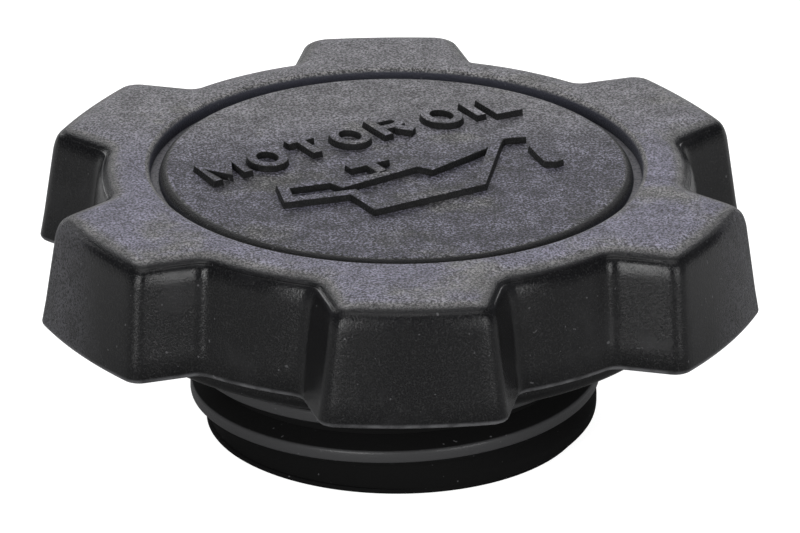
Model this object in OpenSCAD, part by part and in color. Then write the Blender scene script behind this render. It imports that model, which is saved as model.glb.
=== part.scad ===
// Oil filler cap for a car engine: a black moulded cap with six finger lobes, a grooved top
// disc, a hollow plug with a coarse one-start thread, and a rubber seal under its top.
// Millimetres. Z is the screw axis, and z = 0 is the end face of the plug.

/* [Handle] */
// Number of finger lobes
lobe_count = 6; // [5:1:7]
// How far the lobe tips stand out from the valleys between them
lobe_depth = 5.2; // [4.4:0.1:6.5]
// Angle that the tip of one lobe spans, seen from the axis
lobe_tip_angle = 28; // [24:0.1:31]
// Angle that the foot of one lobe spans, seen from the axis
lobe_foot_angle = 39.8; // [36:0.1:43]
// Height of the lobed skirt, from its lower edge to the top face
skirt_h = 10.6; // [9:0.1:12]
// Draft of the skirt, by which it flares towards its lower edge, in degrees
wall_draft = 7.3; // [4:0.1:9]
// Wall thickness of the skirt
skirt_wall = 2.2; // [1.8:0.1:2.6]
// Width of the rolled edge between the top face and the skirt, which is part of an ellipse
top_round_w = 3.2; // [2:0.1:3.4]
// Height of that rolled edge
top_round_h = 1.6; // [1:0.1:2.4]
// How much flatter a lobe's tip is in its middle than a circle about the axis
tip_flat = 0.2; // [0:0.05:0.5]
// Radius of the upright corners at the lobe tips
tip_corner_r = 1.5; // [1:0.1:2.2]
// Radius of the upright corners in the valleys
valley_corner_r = 1.7; // [1:0.1:2]
// Rounding of the skirt's lower edge
edge_round = 0.4; // [0.2:0.05:0.6]
// Thickness of the stiffening rib inside each lobe
rib_w = 1.6; // [1.2:0.1:2.4]
// Height of each rib's lower edge above the lower edge of the skirt
rib_recess = 1; // [0.6:0.1:3]

/* [Top] */
// Thickness of the top wall under the lobes
top_wall = 2.6; // [2.2:0.1:3]
// Width of the flat band between the groove and the rolled edge, in the valleys
rim_band = 0.85; // [0.4:0.05:2.5]
// Distance of the disc's face below the top face
disc_drop = 0.3; // [0.1:0.05:0.5]
// Width of the groove round the disc
groove_w = 0.95; // [0.6:0.05:1.4]
// Depth of the groove, from the top face
groove_depth = 1.3; // [0.9:0.05:1.5]
// Rounding of the groove's outer edge
rim_round = 0.35; // [0.1:0.05:0.45]
// Thickness of the wall under the groove's floor
floor_wall = 1.5; // [1.2:0.1:2.2]

/* [Collar] */
// Free width between the thread and the collar, which takes the filler neck's wall
neck_gap = 5.1; // [4.4:0.1:6]
// How far the round collar reaches below the lobed skirt
collar_drop = 2; // [1:0.1:3]
// How deep the collar's outside is sunk in the valley walls of the skirt
collar_lap = 0.4; // [0.3:0.05:0.8]
// Wall thickness of the collar at the height of the skirt's lower edge
collar_wall = 2.2; // [1.8:0.1:2.6]
// Rounding of the collar's lower outer edge
collar_round = 0.9; // [0.5:0.1:1.2]

/* [Plug] */
// Height of the plug below the lobed skirt
plug_reach = 13.25; // [12.6:0.05:18]
// Radius over the crests of the thread
thread_r = 17.9; // [17.4:0.1:18.4]
// Depth of the thread
thread_depth = 1.7; // [1.2:0.1:1.9]
// Rise of the thread in one turn
thread_lead = 3.35; // [3.25:0.05:3.9]
// Width of the flat crest
crest_w = 0.95; // [0.6:0.05:1.05]
// Height of the flank above the crest, which presses on the filler neck
upper_flank_h = 1; // [0.6:0.05:1.1]
// Height of the flank below the crest
lower_flank_h = 1; // [0.6:0.05:1.05]
// Number of turns of the thread
thread_turns = 3.7; // [3:0.1:4.2]
// Azimuth at which the thread starts, at the lower end, in degrees
thread_start = -105; // [-130:1:-80]
// Height of the crest's middle at that start, where the end ring doesn't hold it up
thread_start_z = 0.65; // [0.4:0.05:0.9]
// Angle over which the thread rises from the plug at its lower end, in degrees
thread_run_in = 130; // [60:1:180]
// Angle over which the thread sinks into the plug at its upper end, in degrees
thread_run_out = 60; // [30:1:120]
// Wall thickness of the plug, under the thread
plug_wall = 2.2; // [1.8:0.1:2.8]
// Height of the ring at the end of the plug
end_ring_h = 0.45; // [0.3:0.05:0.6]
// How far the end ring stands out from the foot of the thread
end_ring_step = 0.3; // [0.2:0.05:0.5]
// Chamfer of the end ring
end_chamfer = 0.15; // [0.1:0.05:0.25]
// How far the neck that carries the seal stands out from the foot of the thread
neck_step = 0.7; // [0.4:0.05:1]

/* [Seal] */
// Width of the rubber seal, across its section
seal_w = 3.4; // [2.6:0.1:3.8]
// Thickness of the rubber seal
seal_h = 2.6; // [2:0.1:3.2]
// Rounding of the seal's edges
seal_round = 0.5; // [0.2:0.05:0.8]
// Gap between the seal and the neck that it is pushed onto
seal_clearance = 0.1; // [0.05:0.05:0.2]
// Free length of the neck below the seal
neck_end = 0.8; // [0.4:0.1:1.5]

/* [Hidden] */
$fn = 96;
// How deep one solid reaches into the next where they are one moulding
merge = 0.4;
// Height that the start of the thread's crest keeps above the end ring
crest_gap = 0.05;
// Steps along half a lobe's tip, half a valley, an upright corner, the rolled edge and the lower edge
tip_steps = 3;
valley_steps = 2;
corner_steps = 4;
roll_steps = 6;
edge_steps = 2;
// Steps in one turn of the thread
turn_steps = 72;

skirt_z = plug_reach;
top_z = skirt_z + skirt_h;
groove_z = top_z - groove_depth;
disc_z = top_z - disc_drop;
disc_round = groove_depth - disc_drop;
seat_z = groove_z - floor_wall;
ceiling_z = top_z - top_wall;
collar_bore_r = thread_r + neck_gap;
collar_r = collar_bore_r + collar_wall;
collar_z = skirt_z - collar_drop;
valley_r = collar_r - collar_lap + skirt_wall;
lobe_tip_r = valley_r + lobe_depth;
root_r = thread_r - thread_depth;
neck_r = root_r + neck_step;
neck_z = seat_z - seal_h - neck_end;
bore_r = root_r - plug_wall;

// Flank of a lobe at the skirt's lower edge: the way it runs, the way it faces, and how far
// its plane lies from the axis
flank_tip = lobe_tip_r * [cos(lobe_tip_angle / 2), sin(lobe_tip_angle / 2)];
flank_foot = valley_r * [cos(lobe_foot_angle / 2), sin(lobe_foot_angle / 2)];
flank_dir = (flank_tip - flank_foot) / norm(flank_tip - flank_foot);
flank_facing = atan2(flank_dir.y, flank_dir.x) + 90;
flank_normal = [cos(flank_facing), sin(flank_facing)];
flank_distance = flank_tip * flank_normal;

// Point at a radius from the axis, on the line that lies a distance from it and runs as the flank
function on_flank(r, distance) = distance * flank_normal + sqrt(r * r - distance * distance) * flank_dir;

function arc(centre, r, from, to, steps) =
    [for (i = [0:steps]) let (a = from + (to - from) * i / steps) centre + r * [cos(a), sin(a)]];

// Half of one lobe's outline, from the middle of its tip to the middle of the valley beside it,
// moved inwards by an inset. The tip is nearly an arc about the axis, the valley is one, and the
// corners between them and the flank are rounded.
function half_lobe(inset) =
    let (
        tip_r = lobe_tip_r - inset,
        low_r = valley_r - inset,
        plane = flank_distance - inset,
        outer = on_flank(tip_r - tip_corner_r, plane - tip_corner_r),
        inner = on_flank(low_r + valley_corner_r, plane + valley_corner_r),
        tip_end = atan2(outer.y, outer.x),
        valley_end = atan2(inner.y, inner.x),
        tip = [for (i = [0:tip_steps]) let (share = i / tip_steps, a = tip_end * share)
            (tip_r - tip_flat * (1 - share * share)) * [cos(a), sin(a)]],
        outer_corner = arc(outer, tip_corner_r, tip_end, flank_facing, corner_steps),
        inner_corner = arc(inner, -valley_corner_r, flank_facing, valley_end, corner_steps),
        valley = arc([0, 0], low_r, valley_end, 180 / lobe_count, valley_steps)
    )
    concat([for (i = [0:tip_steps - 1]) tip[i]], outer_corner, inner_corner,
        [for (i = [1:valley_steps]) valley[i]]);

function turned(p, a) = [p.x * cos(a) - p.y * sin(a), p.x * sin(a) + p.y * cos(a)];

// One lobe's outline, from the valley's end of its right half to the middle of the next valley
function lobe(inset) =
    let (half = half_lobe(inset), last = len(half) - 1)
    concat([for (i = [last - 1:-1:1]) [half[i].x, -half[i].y]], half);

function lobed_outline(inset) =
    let (one = lobe(inset))
    [for (k = [0:lobe_count - 1], p = one) turned(p, -90 + 360 / lobe_count * k)];

function at_height(outline, z) = [for (p = outline) [p.x, p.y, z]];

// A circle with one point straight inside each point of the outline at an inset
function round_outline(r, inset) = [for (p = lobed_outline(inset)) r * p / norm(p)];

// Inset of the drafted wall at a height above the skirt's lower edge
function draft(h) = h * tan(wall_draft);

// The rolled edge starts where its ellipse has the slope of the wall
roll_start = atan(top_round_h / top_round_w * tan(wall_draft));
roll_low_z = top_z - top_round_h * (1 - sin(roll_start));
roll_inset = draft(roll_low_z - skirt_z) + top_round_w * cos(roll_start);
rim_r = valley_r - roll_inset - rim_band - rim_round;
disc_r = rim_r - groove_w;
ceiling_inset = skirt_wall + draft(skirt_h - top_wall);

// The outer skin, as pairs of inset and height: lower edge, drafted wall and rolled edge
outer_skin = concat(
    [for (i = [0:edge_steps]) let (a = 90 * i / edge_steps)
        [edge_round * (1 - sin(a)), skirt_z + edge_round * (1 - cos(a))]],
    [for (i = [0:roll_steps]) let (a = roll_start + (90 - roll_start) * i / roll_steps)
        [roll_inset - top_round_w * cos(a), top_z - top_round_h * (1 - sin(a))]]);

// The lobed skirt with its top ring, as one shell that is open below: its outlines run up the
// outside, in over the top face, down the groove's wall, out under the top and down the inside.
lobed_rings = concat(
    [for (s = outer_skin) at_height(lobed_outline(s[0]), s[1])],
    [at_height(round_outline(rim_r + rim_round, roll_inset), top_z)],
    [at_height(round_outline(rim_r, roll_inset), top_z - rim_round)],
    [at_height(round_outline(rim_r, ceiling_inset), ceiling_z)],
    [at_height(lobed_outline(ceiling_inset), ceiling_z)],
    [at_height(lobed_outline(skirt_wall), skirt_z)]);

// A solid ring skinned over closed outlines with the same number of points
module skinned_ring(rings) {
    n = len(rings[0]);
    m = len(rings);
    polyhedron(
        points = [for (ring = rings, p = ring) p],
        faces = [for (j = [0:m - 1], i = [0:n - 1])
            let (up = (j + 1) % m, next = (i + 1) % n)
            [j * n + i, up * n + i, up * n + next, j * n + next]],
        convexity = 8);
}

// Top plate, disc, groove floor, collar and seal neck, turned about the axis as one section
module core() {
    top_inset = draft(skirt_h - top_wall);
    collar_edge = [collar_r + draft(collar_drop - collar_round) - collar_round / cos(wall_draft),
        collar_z + collar_round];
    rotate_extrude()
        polygon(concat(
            [[0, disc_z]],
            arc([disc_r - disc_round, groove_z], disc_round, 90, 0, 6),
            [[collar_bore_r + merge, groove_z],
                [collar_bore_r + merge, ceiling_z + merge],
                [collar_r - top_inset, ceiling_z + merge]],
            arc(collar_edge, collar_round, wall_draft, -90, 5),
            [[collar_bore_r + edge_round, collar_z],
                [collar_bore_r, collar_z + edge_round],
                [collar_bore_r, seat_z],
                [neck_r, seat_z],
                [neck_r, neck_z],
                [0, neck_z]]));
}

// One rib inside each lobe, from the collar to the tip's wall
module lobe_ribs() {
    rib_r = lobe_tip_r - draft(skirt_h) - skirt_wall + merge + draft(top_wall);
    for (k = [0:lobe_count - 1])
        rotate(-90 + 360 / lobe_count * k)
            translate([collar_bore_r + merge, -rib_w / 2, skirt_z + rib_recess])
                cube([rib_r - collar_bore_r, rib_w, skirt_h - rib_recess - top_wall + merge]);
}

// Share of the thread's full depth at a number of steps from its start
thread_end = round(thread_turns * turn_steps);
function thread_share(k) =
    min(1, (1 + k) * 360 / turn_steps / thread_run_in,
        (1 + thread_end - k) * 360 / turn_steps / thread_run_out);

// Section of the thread at a step: lower foot, both ends of the crest, upper foot. Where the
// thread starts, its crest keeps above the end ring and its lower flank stops there.
function thread_section(k) =
    let (
        depth = thread_depth * thread_share(k),
        middle = max(end_ring_h + crest_w / 2 + crest_gap, thread_start_z + thread_lead * k / turn_steps),
        foot = middle - crest_w / 2 - lower_flank_h,
        low = max(foot, end_ring_h)
    )
    [[root_r + depth * (low - foot) / lower_flank_h, low],
        [root_r + depth, middle - crest_w / 2],
        [root_r + depth, middle + crest_w / 2],
        [root_r, middle + crest_w / 2 + upper_flank_h]];

function about_axis(p, k) =
    let (a = thread_start + 360 * k / turn_steps)
    [p[0] * cos(a), p[0] * sin(a), p[1]];

// Triangles from one point to each step of a path
function fan(apex, path) = [for (i = [0:len(path) - 2]) [apex, path[i], path[i + 1]]];

// The plug's threaded length. The thread is a strip of four points a step that winds up round
// the root, and the root fills the strips between its turns, below its start and above its end.
module threaded_length() {
    low_z = end_ring_h / 2;
    high_z = neck_z + merge;
    strip = [for (k = [0:thread_end], p = thread_section(k)) about_axis(p, k)];
    low_ring = [for (k = [0:turn_steps - 1]) about_axis([root_r, low_z], k)];
    high_ring = [for (k = [0:turn_steps - 1]) about_axis([root_r, high_z], k)];
    low = len(strip);
    high = low + turn_steps;
    last = thread_end;
    turn = turn_steps;
    under_end = last - turn;
    polyhedron(
        points = concat(strip, low_ring, high_ring),
        faces = concat(
            [for (k = [0:last - 1], j = [0:2])
                [4 * k + j, 4 * k + j + 1, 4 * k + j + 5, 4 * k + j + 4]],
            [[3, 2, 1, 0]],
            [[4 * last, 4 * last + 1, 4 * last + 2, 4 * last + 3]],
            [for (k = [0:under_end - 1])
                [4 * k + 3, 4 * (k + turn), 4 * (k + turn + 1), 4 * k + 7]],
            [for (k = [0:turn - 2])
                [low + k, 4 * k, 4 * (k + 1), low + k + 1]],
            fan(4 * (turn - 1), [4 * turn, 3, 0, low, low + turn - 1]),
            [for (k = [under_end + 1:last - 1])
                [4 * k + 3, high + k % turn, high + (k + 1) % turn, 4 * k + 7]],
            fan(4 * (under_end + 1) + 3,
                [4 * under_end + 3, 4 * last, 4 * last + 3, high + last % turn, high + (last + 1) % turn]),
            [[for (k = [0:turn - 1]) low + k]],
            [[for (k = [turn - 1:-1:0]) high + k]]),
        convexity = 10);
}

module end_ring() {
    ring_r = root_r + end_ring_step;
    rotate_extrude()
        polygon([[0, 0], [ring_r - end_chamfer, 0], [ring_r, end_chamfer],
            [ring_r, end_ring_h], [0, end_ring_h]]);
}

module cap_body() {
    color("#26262a")
        difference() {
            union() {
                skinned_ring(lobed_rings);
                core();
                lobe_ribs();
                threaded_length();
                end_ring();
            }
            translate([0, 0, -merge])
                cylinder(r = bore_r, h = seat_z + merge);
        }
}

// Flat rubber ring on the neck, against the underside of the top plate
module seal_ring() {
    seal_bore_r = neck_r + seal_clearance;
    low_z = seat_z - seal_h;
    edge = min(seal_round, seal_h / 2.2);
    color("#151515")
        rotate_extrude()
            polygon(concat(
                [[seal_bore_r, seat_z], [seal_bore_r, low_z]],
                arc([seal_bore_r + seal_w - edge, low_z + edge], edge, -90, 0, 4),
                arc([seal_bore_r + seal_w - edge, seat_z - edge], edge, 0, 90, 4)));
}

cap_body();
seal_ring();
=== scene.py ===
# %% [markdown]
# # An oil filler cap in Blender
# The cap is one black moulding with six finger lobes, a grooved disc with a raised marking, and
# a hollow plug with a coarse thread. A flat rubber seal sits on the plug's neck. The imported CAD
# model gives the frame: every mesh made here lies in the same place, in metres, and stays in
# its box. We first load the frame.

import bmesh
import bpy
import math
from mathutils import Matrix, Vector


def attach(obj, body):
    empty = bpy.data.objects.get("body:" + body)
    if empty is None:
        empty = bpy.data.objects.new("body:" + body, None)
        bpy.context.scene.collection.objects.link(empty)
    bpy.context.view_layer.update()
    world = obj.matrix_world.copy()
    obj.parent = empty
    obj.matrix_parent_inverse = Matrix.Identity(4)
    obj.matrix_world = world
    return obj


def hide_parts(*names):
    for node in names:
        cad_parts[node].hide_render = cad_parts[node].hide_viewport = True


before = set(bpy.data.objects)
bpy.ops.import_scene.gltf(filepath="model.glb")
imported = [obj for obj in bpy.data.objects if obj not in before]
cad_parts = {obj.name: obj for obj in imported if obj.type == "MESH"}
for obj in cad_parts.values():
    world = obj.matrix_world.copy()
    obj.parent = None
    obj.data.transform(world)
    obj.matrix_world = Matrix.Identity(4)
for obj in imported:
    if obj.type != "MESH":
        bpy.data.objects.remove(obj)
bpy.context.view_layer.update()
MM = 0.001
print("CAD nodes:", sorted(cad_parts))

# %% [markdown]
# ## Sizes
# A maker measures the part once and uses the same numbers everywhere. These are the sizes of
# the CAD source, in millimetres. Radii grow outwards from the thread to the lobe tips.

# %% Sizes of the cap, in millimetres
LOBES = 6
LOBE_DEPTH, TIP_ANGLE, FOOT_ANGLE = 5.2, 28.0, 39.8
SKIRT_H, WALL_DRAFT, SKIRT_WALL = 10.6, math.radians(7.3), 2.2
ROLL_W, ROLL_H = 3.2, 1.6
TIP_FLAT, TIP_CORNER, VALLEY_CORNER, EDGE_ROUND = 0.2, 1.5, 1.7, 0.4
RIB_W, RIB_RECESS = 1.6, 1.0
TOP_WALL, FLOOR_WALL, RIM_BAND, RIM_ROUND = 2.6, 1.5, 0.85, 0.35
DISC_DROP, GROOVE_W, GROOVE_DEPTH = 0.3, 0.95, 1.3
NECK_GAP, COLLAR_DROP, COLLAR_LAP, COLLAR_WALL, COLLAR_ROUND = 5.1, 2.0, 0.4, 2.2, 0.9
PLUG_REACH, THREAD_R, THREAD_DEPTH, THREAD_LEAD = 13.25, 17.9, 1.7, 3.35
CREST_W, UPPER_FLANK, LOWER_FLANK, CREST_GAP = 0.95, 1.0, 1.0, 0.05
THREAD_TURNS, THREAD_START, THREAD_START_Z = 3.7, math.radians(-105), 0.65
RUN_IN, RUN_OUT = 130 / 360, 60 / 360
PLUG_WALL, RING_H, RING_STEP, RING_CHAMFER, NECK_STEP = 2.2, 0.45, 0.3, 0.15, 0.7
SEAL_W, SEAL_H, SEAL_ROUND, SEAL_CLEARANCE, NECK_END = 3.4, 2.6, 0.5, 0.1, 0.8
MERGE = 0.4

# %% Small edges that only the visual model has, in millimetres
FLOOR_SINK, FLOOR_STEP, SEAT_BEVEL, NECK_BEVEL, ROOT_BEVEL = 0.02, 0.06, 0.2, 0.15, 0.1
RING_BEVEL, RING_ROUND, BORE_ROUND, BORE_BEVEL, BORE_BEND = 0.05, 0.06, 0.2, 0.5, 0.15
RIB_BEVEL = 0.25

# %% Other numbers for the meshes
# Edges stay sharp from these angles on, in degrees. One lobe faces the camera.
MOULD_SHARP, MARK_SHARP = 38, 35
FIRST_LOBE = math.radians(-90)
# The turns that are added at a thread's end, and how near points are welded, in metres.
END_TURNS, WELD, DOUBLED = 0.01, 0.000001, 1e-7

# %% Sizes that follow from them
SKIRT_Z = PLUG_REACH
TOP_Z = SKIRT_Z + SKIRT_H
CEILING_Z = TOP_Z - TOP_WALL
GROOVE_Z = TOP_Z - GROOVE_DEPTH
DISC_Z = TOP_Z - DISC_DROP
SEAT_Z = GROOVE_Z - FLOOR_WALL
COLLAR_BORE = THREAD_R + NECK_GAP
COLLAR_R = COLLAR_BORE + COLLAR_WALL
COLLAR_Z = SKIRT_Z - COLLAR_DROP
VALLEY_R = COLLAR_R - COLLAR_LAP + SKIRT_WALL
TIP_R = VALLEY_R + LOBE_DEPTH
ROOT_R = THREAD_R - THREAD_DEPTH
NECK_R = ROOT_R + NECK_STEP
NECK_Z = SEAT_Z - SEAL_H - NECK_END
BORE_R = ROOT_R - PLUG_WALL


def draft(height):
    """How far the drafted wall leans in at a height above the skirt's lower edge."""
    return height * math.tan(WALL_DRAFT)


ROLL_START = math.atan(ROLL_H / ROLL_W * math.tan(WALL_DRAFT))
ROLL_LOW_Z = TOP_Z - ROLL_H * (1 - math.sin(ROLL_START))
ROLL_INSET = draft(ROLL_LOW_Z - SKIRT_Z) + ROLL_W * math.cos(ROLL_START)
RIM_R = VALLEY_R - ROLL_INSET - RIM_BAND - RIM_ROUND
DISC_R = RIM_R - GROOVE_W
print(f"tips at {TIP_R:.1f} mm, valleys at {VALLEY_R:.1f} mm, disc to {DISC_R:.2f} mm")

# %% [markdown]
# ## The camera
# The photograph was taken from a little above with a long lens, so the lobes far and near are
# almost the same size. The camera stands where a fit of the whole outline puts it. Its axes are
# written out, because the picture is also turned by a quarter of a degree.

# %% Camera
camera_data = bpy.data.cameras.new("photo_camera")
camera_data.sensor_width = 36
camera_data.lens = 363.06
camera_data.clip_start = 0.05
camera_data.clip_end = 20
camera = bpy.data.objects.new("photo_camera", camera_data)
bpy.context.scene.collection.objects.link(camera)
bpy.context.scene.camera = camera
CAMERA_PLACE = Vector((-31.76, -640.03, 295.76)) * MM
CAMERA_RIGHT = Vector((0.998822, -0.048347, 0.004042))
CAMERA_UP = Vector((0.015760, 0.402139, 0.915443))
CAMERA_BACK = CAMERA_RIGHT.cross(CAMERA_UP)
camera_axes = Matrix((CAMERA_RIGHT, CAMERA_UP, CAMERA_BACK)).transposed()
camera.matrix_world = Matrix.Translation(CAMERA_PLACE) @ camera_axes.to_4x4()
print("camera distance:", round((CAMERA_PLACE - Vector((0, 0, 0.014))).length, 3), "m")

# %% [markdown]
# ## Helpers for meshes
# Most of this part is rows of points that are joined to the next row. Two small functions do
# that: one for an open or closed net of rows, and one that turns a profile about the axis.


# %% Mesh helpers
def arc(centre, radius, start, end, steps):
    """Points of an arc, with angles in degrees."""
    angles = [math.radians(start + (end - start) * i / steps) for i in range(steps + 1)]
    return [(centre[0] + radius * math.cos(a), centre[1] + radius * math.sin(a)) for a in angles]


def at_angle(degrees, radius=1.0):
    """The point of the plane at an angle and a radius."""
    a = math.radians(degrees)
    return Vector((math.cos(a), math.sin(a))) * radius


def new_object(name, data):
    """An object with the mesh or curve, at the origin of the frame."""
    thing = bpy.data.objects.new(name, data)
    bpy.context.scene.collection.objects.link(thing)
    return thing


def net(name, rows, close_rows=True, close_across=False):
    """A mesh that joins each row of points (in millimetres) to the next one."""
    count, across = len(rows), len(rows[0])
    points = [tuple(c * MM for c in p) for row in rows for p in row]
    faces = []
    for j in range(count if close_rows else count - 1):
        for i in range(across if close_across else across - 1):
            nxt, up = (i + 1) % across, (j + 1) % count
            faces.append((j * across + i, j * across + nxt, up * across + nxt, up * across + i))
    mesh = bpy.data.meshes.new(name)
    mesh.from_pydata(points, [], faces)
    mesh.update()
    return mesh


def outward(mesh):
    """Merges doubled points and turns every face of a closed mesh outwards."""
    work = bmesh.new()
    work.from_mesh(mesh)
    bmesh.ops.remove_doubles(work, verts=work.verts, dist=DOUBLED)
    bmesh.ops.recalc_face_normals(work, faces=work.faces)
    open_edges = sum(1 for e in work.edges if len(e.link_faces) != 2)
    if work.calc_volume(signed=True) < 0:
        bmesh.ops.reverse_faces(work, faces=work.faces)
    work.to_mesh(mesh)
    work.free()
    mesh.update()
    print(f"{mesh.name}: {len(mesh.polygons)} faces, {open_edges} open edges")
    return mesh


def turned(name, profile, steps):
    """Turns a profile of (radius, height) points, in millimetres, about the Z axis."""
    rows = []
    for k in range(steps):
        a = 2 * math.pi * k / steps
        rows.append([(r * math.cos(a), r * math.sin(a), z) for r, z in profile])
    return outward(net(name, rows, close_rows=True, close_across=profile[0][0] > 0))


def shade_smooth(mesh, degrees):
    """Shades a mesh smooth, but keeps edges sharp where it turns by more than an angle."""
    mesh.polygons.foreach_set("use_smooth", [True] * len(mesh.polygons))
    mesh.set_sharp_from_angle(angle=math.radians(degrees))


# %% [markdown]
# ## Helpers for node trees
# The finishes and the repeated shapes are both made with nodes. One small class adds a node,
# sets its sockets and joins it up, so a tree reads as a list of its steps. A shape's tree starts
# with its named inputs and ends the same way each time: copies become real, and then the
# material is set.


# %% Adding and joining nodes
class Wiring:
    """Short calls that add nodes to a tree and join them."""

    def __init__(self, tree):
        self.tree = tree

    def feed(self, target, value):
        """Joins another node's output to an input, or sets the input's value."""
        if isinstance(value, bpy.types.NodeSocket):
            self.tree.links.new(value, target)
        else:
            target.default_value = value

    def node(self, kind, *values, **named):
        """Adds a node, sets what is named, and feeds its first inputs in order."""
        made = self.tree.nodes.new(kind)
        for key, value in named.items():
            if hasattr(made, key):
                setattr(made, key, value)
            else:
                self.feed(made.inputs[key.replace("_", " ")], value)
        for target, value in zip(made.inputs, values):
            self.feed(target, value)
        return made

    def math(self, operation, a, b=0.0):
        return self.node("ShaderNodeMath", a, b, operation=operation).outputs[0]

    def times(self, a, b):
        return self.math("MULTIPLY", a, b)


class ShapeTree(Wiring):
    """A Geometry Nodes tree with named inputs."""

    def __init__(self, name, *inputs):
        super().__init__(bpy.data.node_groups.new(name, "GeometryNodeTree"))
        sockets = self.tree.interface
        for label, kind in inputs + (("Material", "Material"),):
            sockets.new_socket(name=label, in_out="INPUT", socket_type="NodeSocket" + kind)
        sockets.new_socket(name="Geometry", in_out="OUTPUT", socket_type="NodeSocketGeometry")
        self.given = self.tree.nodes.new("NodeGroupInput").outputs

    def end(self, geometry, weld=None):
        """Ends the tree: copies become real and weld if asked, then the material is set."""
        made = self.node("GeometryNodeRealizeInstances", geometry)
        if weld is not None:
            made = self.node("GeometryNodeMergeByDistance", Geometry=made.outputs[0], Distance=weld)
        made = self.node("GeometryNodeSetMaterial", Geometry=made.outputs[0],
                         Material=self.given["Material"])
        self.node("NodeGroupOutput", made.outputs[0])
        return self.tree


def run_tree(name, source, tree, **values):
    """Runs a tree on a source object and returns the result as a plain mesh."""
    modifier = source.modifiers.new(tree.name, "NODES")
    modifier.node_group = tree
    for item in tree.interface.items_tree:
        key = item.name.lower().replace(" ", "_")
        if item.in_out == "INPUT" and key in values:
            modifier[item.identifier] = values[key]
    depsgraph = bpy.context.evaluated_depsgraph_get()
    mesh = bpy.data.meshes.new_from_object(source.evaluated_get(depsgraph), depsgraph=depsgraph)
    mesh.name = name
    source.modifiers.remove(modifier)
    bpy.data.objects.remove(source)
    print(f"{name}: {len(mesh.polygons)} faces from the tree {tree.name}")
    return mesh


# %% [markdown]
# ## Repeating a piece round the axis
# The six lobes are alike, so only one is drawn. A tree puts copies on points of a short line,
# turns each by its own number, makes them real and welds their common borders. Copies by hand
# would do as well, but here the number of lobes stays one named input.


# %% Node tree: copies round the axis
def copies_tree():
    tree = ShapeTree("copies_round_axis", ("Piece", "Geometry"), ("Count", "Int"),
                     ("First angle", "Float"), ("Weld", "Float"))
    given = tree.given
    line = tree.node("GeometryNodeMeshLine", Count=given["Count"], Offset=(0, 0, 0))
    step = tree.math("DIVIDE", 2 * math.pi, given["Count"])
    index = tree.node("GeometryNodeInputIndex").outputs[0]
    angle = tree.math("ADD", tree.times(index, step), given["First angle"])
    turn = tree.node("ShaderNodeCombineXYZ", Z=angle)
    place = tree.node("GeometryNodeInstanceOnPoints", Points=line.outputs[0],
                      Instance=given["Piece"], Rotation=turn.outputs[0])
    return tree.end(place.outputs[0], weld=given["Weld"])


copies = copies_tree()
print(copies.name, "has", len(copies.nodes), "nodes")

# %% [markdown]
# ## Helpers for materials
# Patterns are laid out on Object coordinates, which are metres here, so a noise scale of 4000
# has grains of about a quarter of a millimetre. A ramp is a soft step, and most masks are ramps.


# %% Material helpers
class Finish(Wiring):
    """A material with a shader node and short calls that add pattern nodes."""

    def __init__(self, name, **constants):
        self.material = bpy.data.materials.new(name)
        self.material.use_nodes = True
        super().__init__(self.material.node_tree)
        self.shader = self.tree.nodes["Principled BSDF"]
        for key, value in constants.items():
            self.shader.inputs[key.replace("_", " ")].default_value = value
        self.place = self.node("ShaderNodeTexCoord").outputs["Object"]

    def noise(self, scale, detail=3.0, roughness=0.6):
        return self.node("ShaderNodeTexNoise", Vector=self.place, Scale=scale, Detail=detail,
                         Roughness=roughness).outputs["Fac"]

    def ramp(self, value, low, high, to_low=0.0, to_high=1.0):
        """A soft step: a value from low to high gives to_low to to_high."""
        return self.node("ShaderNodeMapRange", value, low, high, to_low, to_high,
                         interpolation_type="SMOOTHSTEP").outputs["Result"]

    def fade(self, length, limits, to_low=0.0, to_high=1.0):
        """A soft step over a length, between two limits in millimetres."""
        return self.ramp(length, limits[0] * MM, limits[1] * MM, to_low, to_high)

    def blend(self, share, a, b):
        """A soft blend of two values."""
        return self.ramp(share, 0.0, 1.0, a, b)

    def mix(self, share, a, b, kind="RGBA"):
        """A straight blend of two colours, or of two values where the kind is FLOAT."""
        made = self.node("ShaderNodeMix", data_type=kind)
        first, result = {"RGBA": (6, 2), "FLOAT": (2, 0)}[kind]
        for place, value in ((0, share), (first, a), (first + 1, b)):
            self.feed(made.inputs[place], value)
        return made.outputs[result]

    def bump(self, height, strength, distance):
        return self.node("ShaderNodeBump", Height=height, Strength=strength,
                         Distance=distance).outputs[0]

    def put(self, **values):
        """Feeds the shader's own sockets."""
        for key, value in values.items():
            self.feed(self.shader.inputs[key.replace("_", " ")], value)
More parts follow.
